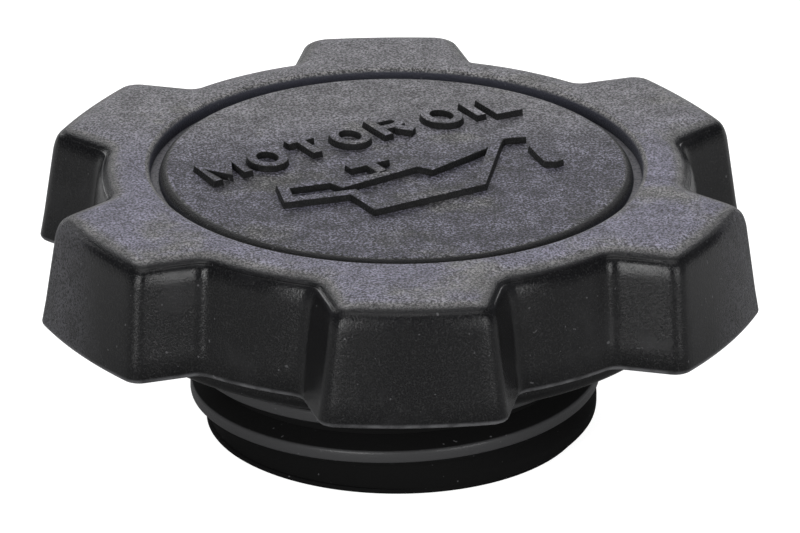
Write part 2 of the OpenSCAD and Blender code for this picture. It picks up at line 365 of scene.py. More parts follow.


# %% [markdown]
# ## The black plastic
# The moulded black plastic looks different from place to place. The top faces came out of an
# eroded mould: they are granular, scatter the light of the room and look dark grey, with a touch
# of blue. The walls are smooth and nearly black, so they mirror the lamps under the rolled edge.
# Inside the rim the plastic is granular again, with a paler groove floor. Under the skirt the
# collar and plug get painted shade: the roots of the thread are painted black as in shadow, and
# its crests are painted paler where light falls on them. Masks tell these places apart by height,
# by distance from the axis and by the way a face looks.

# %% Where the looks change, as limits in millimetres
ROLL_FADE, GROOVE_FADE = (TOP_Z - 0.84, TOP_Z - 0.42), (GROOVE_Z - 0.2, GROOVE_Z + 0.1)
PLUG_FADE, FOOT_FADE = (COLLAR_Z - 0.4, SKIRT_Z - 0.2), (SKIRT_Z + 0.25, SKIRT_Z + 0.55)
DISC_END, RIM_START = (DISC_R - 0.25, DISC_R + 0.05), (DISC_R + 0.1, RIM_R - 0.3)
GROOVE_END, RING_START = (RIM_R + 0.2, RIM_R + 0.5), (RIM_R + 0.45, RIM_R + 0.7)
DISC_TO_RING, CREST_FADE = (DISC_R - 0.8, RIM_R + 0.1), (THREAD_R - 0.22, THREAD_R - 0.04)
BORE_FADE, COLLAR_END = (COLLAR_BORE - 1, COLLAR_BORE), (COLLAR_R + 0.4, COLLAR_R + 0.9)
LOBE_FADE = (VALLEY_R + 1.5, TIP_R - 2)
BACK_FADE, FRONT_FADE, SIDE_FADE = (-2.0, 14.0), (-6.0, -3.0), (25.5, 29.5)
print("the top's grey fades from", [round(z, 2) for z in ROLL_FADE], "mm of height")

# %% Masks of the moulding
DISC_LEVEL, RIM_LEVEL, RING_LEVEL = (0.86, 0.985), (0.35, 0.85), (0.83, 0.985)
plastic = Finish("black_moulded_plastic", IOR=1.48, Specular_IOR_Level=0.2)
fade, ramp, times, blend = plastic.fade, plastic.ramp, plastic.times, plastic.blend
axes = plastic.node("ShaderNodeSeparateXYZ", plastic.place)
across_x, along_y, height = axes.outputs
normal = plastic.node("ShaderNodeNewGeometry").outputs["Normal"]
facing_up = plastic.node("ShaderNodeSeparateXYZ", normal).outputs["Z"]
squares = [plastic.math("POWER", length, 2.0) for length in (across_x, along_y)]
from_axis = plastic.math("SQRT", plastic.math("ADD", *squares))
high, over_groove = fade(height, ROLL_FADE), fade(height, GROOVE_FADE)
in_groove = times(fade(from_axis, DISC_END), fade(from_axis, GROOVE_END, 1.0, 0.0))
in_groove = times(over_groove, in_groove)
at_rim, outside = fade(from_axis, RIM_START), fade(from_axis, RING_START)
level_limits = [blend(outside, blend(at_rim, disc, rim), ring)
                for disc, rim, ring in zip(DISC_LEVEL, RIM_LEVEL, RING_LEVEL)]
top = times(high, ramp(facing_up, *level_limits))
groove_floor = times(in_groove, ramp(facing_up, 0.93, 0.99))
inner = times(blend(outside, 1.0, 0.0), over_groove)
below = fade(height, PLUG_FADE, 1.0, 0.0)
on_crest, on_collar = fade(from_axis, CREST_FADE), fade(from_axis, BORE_FADE)
on_ring, at_back = fade(from_axis, DISC_TO_RING), fade(along_y, BACK_FADE)
aside = times(fade(plastic.math("ABSOLUTE", across_x), SIDE_FADE), fade(along_y, FRONT_FADE, 1.0, 0.0))
print("masks:", len(plastic.tree.nodes), "nodes so far")

# %% Grain, stains, pits and curls
grain = plastic.noise(5000, detail=3, roughness=0.65)
fine_grain = plastic.noise(6500, detail=4, roughness=0.75)
stain = plastic.noise(420, detail=3, roughness=0.6)
mottle = ramp(plastic.noise(140, detail=4, roughness=0.6), 0.5, 0.68)
CURL_DARK, PIT_DARK = 0.35, 0.3
pits = ramp(plastic.noise(2600, detail=1, roughness=0.4), 0.29, 0.34, PIT_DARK, 1.0)
curl_middle = plastic.math("SUBTRACT", plastic.noise(1500, detail=2, roughness=0.5), 0.5)
curl_line = ramp(plastic.math("ABSOLUTE", curl_middle), 0.0, 0.022, 1.0, 0.0)
curls = times(curl_line, ramp(plastic.noise(650, detail=2, roughness=0.5), 0.5, 0.6))
print("patterns:", len(plastic.tree.nodes), "nodes so far")

# %% [markdown]
# The dark colour is laid on in layers, each with its own mask: cloudy black, fine paler grains,
# a painted sheen on the outer side walls, the rolled edge, the groove with its paler floor, and
# painted shade on the plug and collar under the skirt. The grey of the top is then dimmed by
# grains, stains, curls and pits. The disc is darker, painted shade dims it more in front than at
# the back, and its grain is stronger in front.

# %% Colours of the moulding
WALL_LOW, WALL_HIGH = (0.0036, 0.0036, 0.0039, 1), (0.0085, 0.0085, 0.0090, 1)
# The second colour on the next line is a painted sheen: pale grains that stand in for light mirrored by
# the outer side walls.
WALL_GRAIN, SIDE_SHEEN_GREY = (0.018, 0.018, 0.0182, 1), (0.056, 0.055, 0.062, 1)
ROLL_GREY, GROOVE_BLUE = (0.014, 0.014, 0.015, 1), (0.030, 0.031, 0.042, 1)
# The collar's near black on the next line is painted shade under the skirt.
GROOVE_PALE, COLLAR_SHADE = (0.19, 0.185, 0.20, 1), (0.001, 0.001, 0.001, 1)
# Painted shade and light on the plug: the thread's roots are painted black as in shadow, its crests paler
# where light falls.
PLUG_ROOT_SHADE, PLUG_CREST_LIGHT = (0.0006, 0.0006, 0.0006, 1), (0.042, 0.042, 0.043, 1)
TOP_BLUE, TOP_OLIVE = (0.128, 0.124, 0.160, 1), (0.132, 0.129, 0.129, 1)
# How far painted shade dims the disc in front and at the back.
DISC_FRONT_SHADE, DISC_BACK_SHADE = 0.40, 0.90
CONTRAST_FRONT, CONTRAST_BACK, CONTRAST_RING = 2.6, 1.5, 1.4
side_sheen_grains = times(ramp(grain, 0.40, 0.56), ramp(stain, 0.36, 0.56, 0.5, 1.0))
# Below the skirt the colour is painted shade, made of the collar and plug colours.
plug_painted_shade = plastic.mix(on_collar, plastic.mix(on_crest, PLUG_ROOT_SHADE, PLUG_CREST_LIGHT), COLLAR_SHADE)
wall_black = plastic.mix(mottle, WALL_LOW, WALL_HIGH)
layers = [(ramp(fine_grain, 0.5, 0.68), WALL_GRAIN), (times(aside, side_sheen_grains), SIDE_SHEEN_GREY),
          (times(high, ramp(facing_up, 0.6, 0.8)), ROLL_GREY), (in_groove, GROOVE_BLUE),
          (times(groove_floor, ramp(grain, 0.34, 0.54)), GROOVE_PALE), (below, plug_painted_shade)]
for mask, layer in layers:
    wall_black = plastic.mix(mask, wall_black, layer)
neutral = plastic.math("MAXIMUM", mottle, times(at_back, 0.75))
neutral = plastic.math("MAXIMUM", neutral, ramp(facing_up, 0.93, 0.995, 1.0, 0.0))
top_grey = plastic.mix(neutral, TOP_BLUE, TOP_OLIVE)
shade = times(ramp(grain, 0.37, 0.63, 0.42, 1.62), ramp(stain, 0.3, 0.7, 0.84, 1.14))
shade = times(shade, blend(curls, 1.0, CURL_DARK))
contrast = blend(on_ring, blend(at_back, CONTRAST_FRONT, CONTRAST_BACK), CONTRAST_RING)
shade = plastic.math("POWER", shade, contrast)
# Painted shade: the disc is dimmed more in front than at the back.
shade = times(shade, blend(on_ring, blend(at_back, DISC_FRONT_SHADE, DISC_BACK_SHADE), 1.0))
shade = times(shade, pits)
dimmed = plastic.node("ShaderNodeVectorMath", top_grey, operation="SCALE", Scale=shade)
colour = plastic.mix(top, wall_black, dimmed.outputs[0])
print("colours:", len(layers), "layers on the walls")

# %% Wear and dust, and a painted highlight on the foot
FOOT_WEAR_AND_HIGHLIGHT, DUST_GREY = (0.13, 0.13, 0.135, 1), (0.30, 0.30, 0.31, 1)
FOOT_WEAR_AND_HIGHLIGHT_SHARE, DUSTY = 0.7, 0.18
# The skirt's foot is painted paler: partly rubbed wear, partly a painted highlight along its lower edge.
skirt_foot = times(fade(height, FOOT_FADE, 1.0, 0.0), fade(from_axis, COLLAR_END))
rubbed_and_lit = times(skirt_foot, ramp(stain, 0.35, 0.6, 0.35, 1.0))
speck = ramp(plastic.noise(2300, detail=1, roughness=0.4), 0.765, 0.79)
colour = plastic.mix(times(rubbed_and_lit, FOOT_WEAR_AND_HIGHLIGHT_SHARE), colour, FOOT_WEAR_AND_HIGHLIGHT)
colour = plastic.mix(times(speck, DUSTY), colour, DUST_GREY)
print("wear: a rubbed foot and specks of dust")

# %% Roughness and relief of the moulding
WALL_RELIEF, TIP_RELIEF, SIDE_RELIEF = 0.12, 0.17, 0.75
FINE_SHARE, CURL_DEPTH, RELIEF_STRENGTH, RELIEF_HEIGHT = 0.4, 0.15, 0.9, 0.00022
rough_wall = blend(below, ramp(stain, 0.3, 0.75, 0.15, 0.22), blend(on_crest, 0.9, 0.3))
rough_top = ramp(grain, 0.3, 0.7, 0.45, 0.66)
rough = plastic.mix(plastic.math("MAXIMUM", top, inner), rough_wall, rough_top, kind="FLOAT")
relief = plastic.math("ADD", grain, times(fine_grain, FINE_SHARE))
relief = plastic.math("SUBTRACT", relief, times(curls, CURL_DEPTH))
granular = plastic.math("MAXIMUM", inner, times(high, ramp(facing_up, 0.62, 0.8)))
granular = plastic.math("MAXIMUM", top, granular)
wall_relief = fade(from_axis, LOBE_FADE, WALL_RELIEF, TIP_RELIEF)
wall_relief = blend(aside, wall_relief, SIDE_RELIEF)
relief = times(relief, blend(granular, wall_relief, 1.0))
plastic.put(Base_Color=colour, Roughness=rough,
            Normal=plastic.bump(relief, RELIEF_STRENGTH, RELIEF_HEIGHT))
print("finish:", plastic.material.name, len(plastic.tree.nodes), "nodes")

# %% [markdown]
# ## One lobe of the skirt
# The skirt follows a rule: an outline with a tip, a flank, two rounded corners and a valley,
# drawn again at each height with an inset for the draft and the rolled edge. The corners keep
# their radius at every height, so a plain offset of one curve won't do. Python draws the rows
# of one lobe from valley to valley, and the tree above repeats it. The two halves of the mould
# met in the middle of the rolled edge and left a fine line there, which is a shallow notch that
# has worn away on the tips. The wall eases into the rolled edge, and the rim of the groove is
# worn rounder than it was moulded.

# %% Outline of one lobe
TIP_STEPS, CORNER_STEPS, FLANK_STEPS, VALLEY_STEPS = 9, 8, 3, 6
tip_point, foot_point = at_angle(TIP_ANGLE / 2, TIP_R), at_angle(FOOT_ANGLE / 2, VALLEY_R)
flank_way = (tip_point - foot_point).normalized()
facing_angle = math.degrees(math.atan2(flank_way.y, flank_way.x)) + 90
flank_normal = at_angle(facing_angle)
flank_distance = tip_point.dot(flank_normal)


def on_flank(radius, distance):
    """The point at a radius whose distance along the flank's normal is given."""
    return flank_normal * distance + flank_way * math.sqrt(radius ** 2 - distance ** 2)


def between(a, b, share):
    """Points a share of the way from one row's points to another's."""
    return [(p[0] + (q[0] - p[0]) * share, p[1] + (q[1] - p[1]) * share) for p, q in zip(a, b)]


def half_lobe(inset):
    """Points from the middle of the tip to the middle of the valley, moved inwards."""
    tip_r, low_r, plane = TIP_R - inset, VALLEY_R - inset, flank_distance - inset
    outer_corner = on_flank(tip_r - TIP_CORNER, plane - TIP_CORNER)
    inner_corner = on_flank(low_r + VALLEY_CORNER, plane + VALLEY_CORNER)
    tip_end = math.degrees(math.atan2(outer_corner.y, outer_corner.x))
    valley_end = math.degrees(math.atan2(inner_corner.y, inner_corner.x))
    points = []
    for i in range(TIP_STEPS):
        share = i / TIP_STEPS
        a = math.radians(tip_end * share)
        r = tip_r - TIP_FLAT * (1 - share ** 2)
        points.append((r * math.cos(a), r * math.sin(a)))
    points += arc(outer_corner, TIP_CORNER, tip_end, facing_angle, CORNER_STEPS)
    bend = arc(inner_corner, -VALLEY_CORNER, facing_angle, valley_end, CORNER_STEPS)
    flank_ends = points[-1:], bend[:1]
    for i in range(1, FLANK_STEPS):
        points += between(*flank_ends, i / FLANK_STEPS)
    points += bend
    points += arc((0, 0), low_r, valley_end, 180 / LOBES, VALLEY_STEPS)[1:]
    return points


def lobe_outline(inset):
    half = half_lobe(inset)
    return [(x, -y) for x, y in reversed(half[1:])] + half


def circle_part(radius, inset):
    """The stretch of a circle inside one lobe's outline at an inset, point by point."""
    outline = lobe_outline(inset)
    return [(radius * x / math.hypot(x, y), radius * y / math.hypot(x, y)) for x, y in outline]


def parted(inset, sunk):
    """An outline that sinks into the parting line, which has worn away on the tips."""
    points = []
    for p, q in zip(lobe_outline(inset), lobe_outline(inset + sunk)):
        worn = min(1.0, max(0.0, (math.hypot(*p) + inset - TIP_R + WORN_FROM) / WORN_OVER))
        points += between([q], [p], worn)
    return points


print("points in one lobe's outline:", len(lobe_outline(0)))

# %% Rows of the skirt
EDGE_STEPS, WALL_STEPS, EASE_STEPS, ROLL_STEPS, TOP_STEPS, RIM_STEPS = 4, 4, 6, 12, 4, 8
INNER_ROUND, INNER_BEND = 0.35, 0.3
EASE_ANGLE, EASE_IN, EASE_H = math.radians(10.3), 0.13, 0.9
EASE_LOW_Z, EASE_HIGH_Z = ROLL_LOW_Z - EASE_H, TOP_Z - ROLL_H * (1 - math.sin(EASE_ANGLE))
EASED_ROLL_W = (ROLL_INSET - draft(EASE_HIGH_Z - SKIRT_Z) - EASE_IN) / math.cos(EASE_ANGLE)
PARTING_ANGLE, PARTING_HALF, PARTING_DEPTH = 27.0, 1.8, 0.06
WORN_FROM, WORN_OVER = 1.9, 1.4
RIM_SOFT_W, RIM_SOFT_H, RIM_WALL_R = 0.65, 0.6, RIM_R - 0.2
rows = []
for i in range(EDGE_STEPS + 1):
    a = math.radians(90 * i / EDGE_STEPS)
    rows.append((lobe_outline(EDGE_ROUND * (1 - math.sin(a))), SKIRT_Z + EDGE_ROUND * (1 - math.cos(a))))
for i in range(1, WALL_STEPS + 1):
    z = SKIRT_Z + EDGE_ROUND + (EASE_LOW_Z - SKIRT_Z - EDGE_ROUND) * i / WALL_STEPS
    rows.append((lobe_outline(draft(z - SKIRT_Z)), z))
for i in range(1, EASE_STEPS):
    share = i / EASE_STEPS
    z = EASE_LOW_Z + (EASE_HIGH_Z - EASE_LOW_Z) * share
    rows.append((lobe_outline(draft(z - SKIRT_Z) + EASE_IN * share ** 2), z))
roll_turn = math.pi / 2 - EASE_ANGLE
roll_angles = [(EASE_ANGLE + roll_turn * i / ROLL_STEPS, 0.0) for i in range(ROLL_STEPS + 1)]
for side, sunk in ((-1, 0.0), (0, PARTING_DEPTH), (1, 0.0)):
    roll_angles.append((math.radians(PARTING_ANGLE + PARTING_HALF * side), sunk))
for a, sunk in sorted(roll_angles):
    inset = ROLL_INSET - EASED_ROLL_W * math.cos(a)
    rows.append((parted(inset, sunk), TOP_Z - ROLL_H * (1 - math.sin(a))))
edge, rim = rows[-1][0], circle_part(RIM_WALL_R + RIM_SOFT_W, ROLL_INSET)
for i in range(1, TOP_STEPS + 1):
    rows.append((between(edge, rim, i / TOP_STEPS), TOP_Z))
for i in range(1, RIM_STEPS + 1):
    a = math.radians(90 * i / RIM_STEPS)
    r = RIM_WALL_R + RIM_SOFT_W * (1 - math.sin(a))
    rows.append((circle_part(r, ROLL_INSET), TOP_Z - RIM_SOFT_H * (1 - math.cos(a))))
ceiling_inset = SKIRT_WALL + draft(SKIRT_H - TOP_WALL)
rows.append((circle_part(RIM_WALL_R, ceiling_inset), CEILING_Z))
for inset, z in ((ceiling_inset + INNER_ROUND, CEILING_Z),
                 (ceiling_inset + INNER_ROUND * INNER_BEND, CEILING_Z - INNER_ROUND * INNER_BEND),
                 (ceiling_inset - draft(INNER_ROUND), CEILING_Z - INNER_ROUND),
                 (SKIRT_WALL + draft(EDGE_ROUND), SKIRT_Z + EDGE_ROUND),
                 (SKIRT_WALL - EDGE_ROUND * INNER_BEND, SKIRT_Z + EDGE_ROUND * INNER_BEND),
                 (SKIRT_WALL - EDGE_ROUND, SKIRT_Z)):
    rows.append((lobe_outline(inset), z))
print("rows of the skirt:", len(rows))

# %% Six lobes from one
lobe_mesh = net("one_lobe", [[(x, y, z) for x, y in outline] for outline, z in rows])
skirt = outward(run_tree("skirt", new_object("one_lobe", lobe_mesh), copies, count=LOBES,
                         first_angle=FIRST_LOBE, weld=WELD, material=plastic.material))

# %% [markdown]
# ## Ribs inside the lobes
# A thin rib stiffens each lobe from inside. It is a bevelled block, drawn once and repeated by
# the same tree. It can only be seen from below.

# %% Ribs
rib_low, rib_high = SKIRT_Z + RIB_RECESS, CEILING_Z + MERGE
rib_in = COLLAR_BORE + MERGE
rib_out = TIP_R - draft(SKIRT_H) - SKIRT_WALL + MERGE + draft(TOP_WALL) + MERGE
rib_size = Vector((rib_out - rib_in, RIB_W, rib_high - rib_low)) * MM
rib_middle = Vector(((rib_out + rib_in) / 2, 0, (rib_high + rib_low) / 2)) * MM
rib_form = bmesh.new()
bmesh.ops.create_cube(rib_form, size=1)
bmesh.ops.scale(rib_form, vec=rib_size, verts=rib_form.verts)
bmesh.ops.translate(rib_form, vec=rib_middle, verts=rib_form.verts)
bmesh.ops.bevel(rib_form, geom=rib_form.edges[:], offset=RIB_BEVEL * MM, segments=3, affect="EDGES",
                profile=0.5)
rib_mesh = bpy.data.meshes.new("one_rib")
rib_form.to_mesh(rib_mesh)
rib_form.free()
ribs = run_tree("ribs", new_object("one_rib", rib_mesh), copies, count=LOBES,
                first_angle=FIRST_LOBE, weld=WELD, material=plastic.material)

# %% [markdown]
# ## The turned middle
# Disc, groove floor, collar, neck, plug wall and bore are all round, so one profile turned
# about the axis gives them as one closed skin. Small arcs at the edges catch the light as
# moulded edges do.

# %% Turned middle of the cap
DISC_ROWS, MIDDLE_STEPS = (0, 6, 12, 17), 192
disc_round = GROOVE_DEPTH - DISC_DROP
floor_z, hidden_z = GROOVE_Z - FLOOR_SINK, CEILING_Z + MERGE
collar_low_r = COLLAR_R + draft(COLLAR_DROP - COLLAR_ROUND) - COLLAR_ROUND / math.cos(WALL_DRAFT)
ring_r = ROOT_R + RING_STEP
profile = [(r, DISC_Z) for r in DISC_ROWS]
profile += arc((DISC_R - disc_round, GROOVE_Z), disc_round, 90, 0, 10)
profile += [(DISC_R + FLOOR_STEP, floor_z), (COLLAR_BORE + MERGE, floor_z)]
profile += [(COLLAR_BORE + MERGE, hidden_z), (COLLAR_R - draft(SKIRT_H - TOP_WALL), hidden_z)]
profile += arc((collar_low_r, COLLAR_Z + COLLAR_ROUND), COLLAR_ROUND, math.degrees(WALL_DRAFT), -90, 8)
profile += arc((COLLAR_BORE + EDGE_ROUND, COLLAR_Z + EDGE_ROUND), EDGE_ROUND, -90, -180, 4)
profile += [(COLLAR_BORE, SEAT_Z - SEAT_BEVEL), (COLLAR_BORE - SEAT_BEVEL, SEAT_Z), (NECK_R, SEAT_Z)]
profile += [(NECK_R, NECK_Z + NECK_BEVEL), (NECK_R - NECK_BEVEL, NECK_Z), (ROOT_R + ROOT_BEVEL, NECK_Z)]
profile += [(ROOT_R, NECK_Z - ROOT_BEVEL), (ROOT_R, RING_H + RING_BEVEL), (ROOT_R + RING_BEVEL, RING_H)]
profile += arc((ring_r - RING_ROUND, RING_H - RING_ROUND), RING_ROUND, 90, 0, 3)
profile += arc((ring_r - RING_CHAMFER, RING_CHAMFER), RING_CHAMFER, 0, -90, 4)
profile += arc((BORE_R + BORE_ROUND, BORE_ROUND), BORE_ROUND, -90, -180, 4)
profile += [(BORE_R, SEAT_Z - BORE_BEVEL), (BORE_R - BORE_BEND, SEAT_Z - BORE_BEND)]
profile += [(BORE_R - BORE_BEVEL, SEAT_Z), (0, SEAT_Z)]
middle = turned("turned_middle", profile, MIDDLE_STEPS)

# %% [markdown]
# ## The thread
# A thread is a bar with a fixed section, wound round a core. So the bar is first drawn straight:
# X counts turns, Y is its height over the core and Z runs along the screw axis. A Geometry Nodes
# tree then winds it: X becomes an angle and a rise, and near both ends the bar gets lower, as
# the cutter of the mould runs in and out. A hundredth of a turn is added at both ends, so the
# bar keeps a little height there. The start lies on the end ring, so no point may go below it.

# %% Straight bar of the thread
BAR_STEPS_A_TURN = 144
CREST_EDGE, CREST_DROP, CREST_SIDE, BAR_SINK = 0.16, (0.03, 0.04), 0.02, 0.25
LOWER_POINTS, UPPER_POINTS = (0.06, 0.3, 0.6, 0.88), (0.85, 0.5, 0.1)
half_crest = CREST_W / 2
lower_foot, upper_foot = -half_crest - LOWER_FLANK, half_crest + UPPER_FLANK
section = [(0.0, lower_foot)]
section += [(THREAD_DEPTH * s, lower_foot + LOWER_FLANK * s) for s in LOWER_POINTS]
section += [(THREAD_DEPTH - CREST_DROP[0], CREST_SIDE - half_crest)]
section += [(THREAD_DEPTH, CREST_EDGE - half_crest), (THREAD_DEPTH, half_crest - CREST_EDGE)]
section += [(THREAD_DEPTH - CREST_DROP[1], half_crest - CREST_SIDE)]
section += [(THREAD_DEPTH * s, upper_foot - UPPER_FLANK * s) for s in UPPER_POINTS]
section += [(0.0, upper_foot), (-BAR_SINK, upper_foot), (-BAR_SINK, lower_foot)]
bar_steps = round(THREAD_TURNS * BAR_STEPS_A_TURN)
bar_rows = [[(k / BAR_STEPS_A_TURN / MM, y, z) for y, z in section] for k in range(bar_steps + 1)]
bar = net("thread_bar", bar_rows, close_rows=False, close_across=True)
bar_form = bmesh.new()
bar_form.from_mesh(bar)
bar_form.verts.ensure_lookup_table()
size = len(section)
bar_form.faces.new([bar_form.verts[i] for i in reversed(range(size))])
bar_form.faces.new([bar_form.verts[bar_steps * size + i] for i in range(size)])
bar_form.to_mesh(bar)
bar_form.free()
print("bar:", bar_steps, "steps with", size, "points in its section")


# %% Node tree: wind the bar
def winding_tree():
    lengths = ("Core radius", "Lead", "Turns", "Start angle", "Start height", "Run in", "Run out",
               "Floor", "Least height")
    tree = ShapeTree("wind_round_axis", ("Bar", "Geometry"), *((name, "Float") for name in lengths))
    given, calc, times = tree.given, tree.math, tree.times
    here = tree.node("ShaderNodeSeparateXYZ", tree.node("GeometryNodeInputPosition").outputs[0])
    turns, over, along = here.outputs
    rise_in = calc("DIVIDE", calc("ADD", turns, END_TURNS), given["Run in"])
    left = calc("ADD", calc("SUBTRACT", given["Turns"], turns), END_TURNS)
    rise_out = calc("DIVIDE", left, given["Run out"])
    share = calc("MINIMUM", calc("MINIMUM", rise_in, rise_out), 1.0)
    lowered = calc("MAXIMUM", times(over, share), calc("MINIMUM", over, 0.0))
    radius = calc("ADD", given["Core radius"], lowered)
    angle = calc("ADD", times(turns, 2 * math.pi), given["Start angle"])
    wound_z = calc("ADD", times(turns, given["Lead"]), given["Start height"])
    middle_z = calc("MAXIMUM", wound_z, given["Least height"])
    height = calc("MAXIMUM", calc("ADD", middle_z, along), given["Floor"])
    spot = tree.node("ShaderNodeCombineXYZ", times(radius, calc("COSINE", angle)),
                     times(radius, calc("SINE", angle)), height)
    move = tree.node("GeometryNodeSetPosition", Geometry=given["Bar"], Position=spot.outputs[0])
    return tree.end(move.outputs[0])


winding = winding_tree()
print(winding.name, "has", len(winding.nodes), "nodes")

# %% Wind the thread
thread = outward(run_tree(
    "thread", new_object("thread_bar", bar), winding, core_radius=ROOT_R * MM, lead=THREAD_LEAD * MM,
    turns=THREAD_TURNS, start_angle=THREAD_START, start_height=THREAD_START_Z * MM, run_in=RUN_IN,
    run_out=RUN_OUT, floor=RING_H * MM, least_height=(RING_H + half_crest + CREST_GAP) * MM,
    material=plastic.material))

# %% [markdown]
# ## One moulding
# Skirt, ribs, middle and thread came out of one mould, so they become one object. It stands for
# the CAD body, which stays in the model for collision.

# %% Join the moulding
cap = new_object("cap_moulding", skirt)
joined = bmesh.new()
for mesh in (skirt, ribs, middle, thread):
    joined.from_mesh(mesh)
joined.to_mesh(skirt)
joined.free()
skirt.materials.clear()
skirt.materials.append(plastic.material)
skirt.polygons.foreach_set("material_index", [0] * len(skirt.polygons))
shade_smooth(skirt, MOULD_SHARP)
print("moulding:", len(skirt.polygons), "faces")

# %% [markdown]
# ## The raised marking
# The top of such a cap says what goes in and shows a can with a drop. The mould's marking is a
# raised line of even width, so letters and sign are drawn as strokes on a plane, and a tree
# sweeps one small section with soft upper edges along them. The words and the can are generic.

# %% Strokes of the letters
LINE_W, LINE_SINK, MARK_H = 0.86, 0.15, 0.6
LETTER_H, LETTER_GAP, WORD_GAP = 3.25, 1.66, 2.4
MARK_TURN = math.radians(29)
TEXT_MIDDLE, TEXT_BASE, TEXT_PEAK, TEXT_BEND = 0.03, 5.1, 1.3, 0.0039
WORDS = "MOTOR OIL"
ROUND_STEPS = 28
WIDTHS = {"M": 3.2, "O": 2.7, "T": 2.6, "R": 2.5, "I": 0.0, "L": 2.1}
round_line = arc((0.5, 0.5), 0.5, 0, 360, ROUND_STEPS)[:-1]
STROKES = {
    "M": [[(0, 0), (0, 1), (0.5, 0.25), (1, 1), (1, 0)]],
    "O": [round_line + round_line[:1]],
    "T": [[(0, 1), (1, 1)], [(0.5, 0.88), (0.5, 0)]],
    "R": [[(0, 0), (0, 1), (0.62, 1), (0.88, 0.93), (0.97, 0.76), (0.88, 0.58), (0.62, 0.5), (0.14, 0.5)],
          [(0.6, 0.38), (1, 0)]],
    "I": [[(0, 0), (0, 1)]],
    "L": [[(0, 1), (0, 0), (1, 0)]],
}

flat_strokes = []
pen = 0.0
for letter in WORDS:
    if letter == " ":
        pen += WORD_GAP - LETTER_GAP
        continue
    for line in STROKES[letter]:
        flat_strokes.append([(pen + x * WIDTHS[letter], y * LETTER_H) for x, y in line])
    pen += WIDTHS[letter] + LETTER_GAP
word_width = pen - LETTER_GAP
strokes = []
for line in flat_strokes:
    shifted = [(x - word_width / 2 + TEXT_MIDDLE, y) for x, y in line]
    strokes.append([(x, y + TEXT_BASE - TEXT_BEND * (x - TEXT_PEAK) ** 2) for x, y in shifted])
print("words are", round(word_width + LINE_W, 1), "mm wide")

# %% Strokes of the can
can = [(12.5, -1.05), (10.8, -0.4), (10.1, -0.5), (9.3, -1.3), (3.55, -8.0), (-6.8, -7.85), (-6.8, -4.05),
       (-12.4, -2.65), (-11.4, 0.0), (-7.1, -1.0), (-6.8, -2.3), (1.05, -1.7), (1.75, -2.95), (8.2, -1.35)]
knob = [[(-4.4, 0.8), (-0.5, 0.8)], [(-2.35, 0.36), (-2.35, -1.75)]]
drop = [(11.95, -3.4), (11.55, -5.2), (11.3, -6.7), (11.7, -7.0), (12.3, -6.9)]
CAN_LINE = 1.18
can_strokes = [can, drop] + knob
print("the can has", len(can_strokes), "strokes")

# %% [markdown]
# The section of the line is a flat block with rounded upper corners. Curve to Mesh carries it
# along each stroke, and Set Curve Normal keeps it upright. At a corner the section has to be
# wider, or the line gets thin there, so each point of a stroke has a radius that follows from
# the angle of its corner. That radius would also lift the line, so the tree keeps the height
# of every point of the section and sets it again after the sweep.


# %% Node tree: raised line
def raised_line_tree():
    tree = ShapeTree("raised_line", ("Strokes", "Geometry"), ("Section", "Object"), ("Ground", "Float"))
    given = tree.given
    position = tree.node("GeometryNodeInputPosition").outputs[0]
    upright = tree.node("GeometryNodeSetCurveNormal", given["Strokes"], mode="Z_UP")
    section_in = tree.node("GeometryNodeObjectInfo", Object=given["Section"])
    keep = tree.node("GeometryNodeCaptureAttribute")
    keep.capture_items.new("VECTOR", "Place in section")
    tree.feed(keep.inputs["Geometry"], section_in.outputs["Geometry"])
    tree.feed(keep.inputs["Place in section"], position)
    sweep = tree.node("GeometryNodeCurveToMesh", Curve=upright.outputs[0],
                      Profile_Curve=keep.outputs["Geometry"], Fill_Caps=True)
    if "Scale" in sweep.inputs:
        tree.feed(sweep.inputs["Scale"], tree.node("GeometryNodeInputRadius").outputs[0])
    kept = tree.node("ShaderNodeSeparateXYZ", keep.outputs["Place in section"])
    here = tree.node("ShaderNodeSeparateXYZ", position)
    lifted = tree.math("ADD", kept.outputs["Y"], given["Ground"])
    spot = tree.node("ShaderNodeCombineXYZ", here.outputs["X"], here.outputs["Y"], lifted)
    move = tree.node("GeometryNodeSetPosition", Geometry=sweep.outputs[0], Position=spot.outputs[0])
    return tree.end(move.outputs[0])


raised_line = raised_line_tree()
print(raised_line.name, "has", len(raised_line.nodes), "nodes")

# %% Curves with wider corners
WIDEST_CORNER = 1.55


def corner_width(before, here, after):
    """How much wider a line's section is at a corner, so that its edges stay parallel."""
    half_turn = (here - before).angle(after - here) / 2
    return min(WIDEST_CORNER, 1 / max(0.01, math.cos(half_turn)))


def curve_object(name, lines, widths=None):
    """A curve of straight pieces through points in millimetres. It closes where it began."""
    data = bpy.data.curves.new(name, "CURVE")
    data.dimensions = "3D"
    for line, width in zip(lines, widths or [1.0] * len(lines)):
        closed = line[0] == line[-1]
        flat = [Vector(p) for p in (line[:-1] if closed else line)]
        spline = data.splines.new("POLY")
        spline.points.add(len(flat) - 1)
        spline.use_cyclic_u = closed
        for i, p in enumerate(flat):
            inside = closed or 0 < i < len(flat) - 1
            corner = corner_width(flat[i - 1], p, flat[(i + 1) % len(flat)]) if inside else 1.0
            spline.points[i].co = (p.x * MM, p.y * MM, 0, 1)
            spline.points[i].radius = width * corner
    return new_object(name, data)


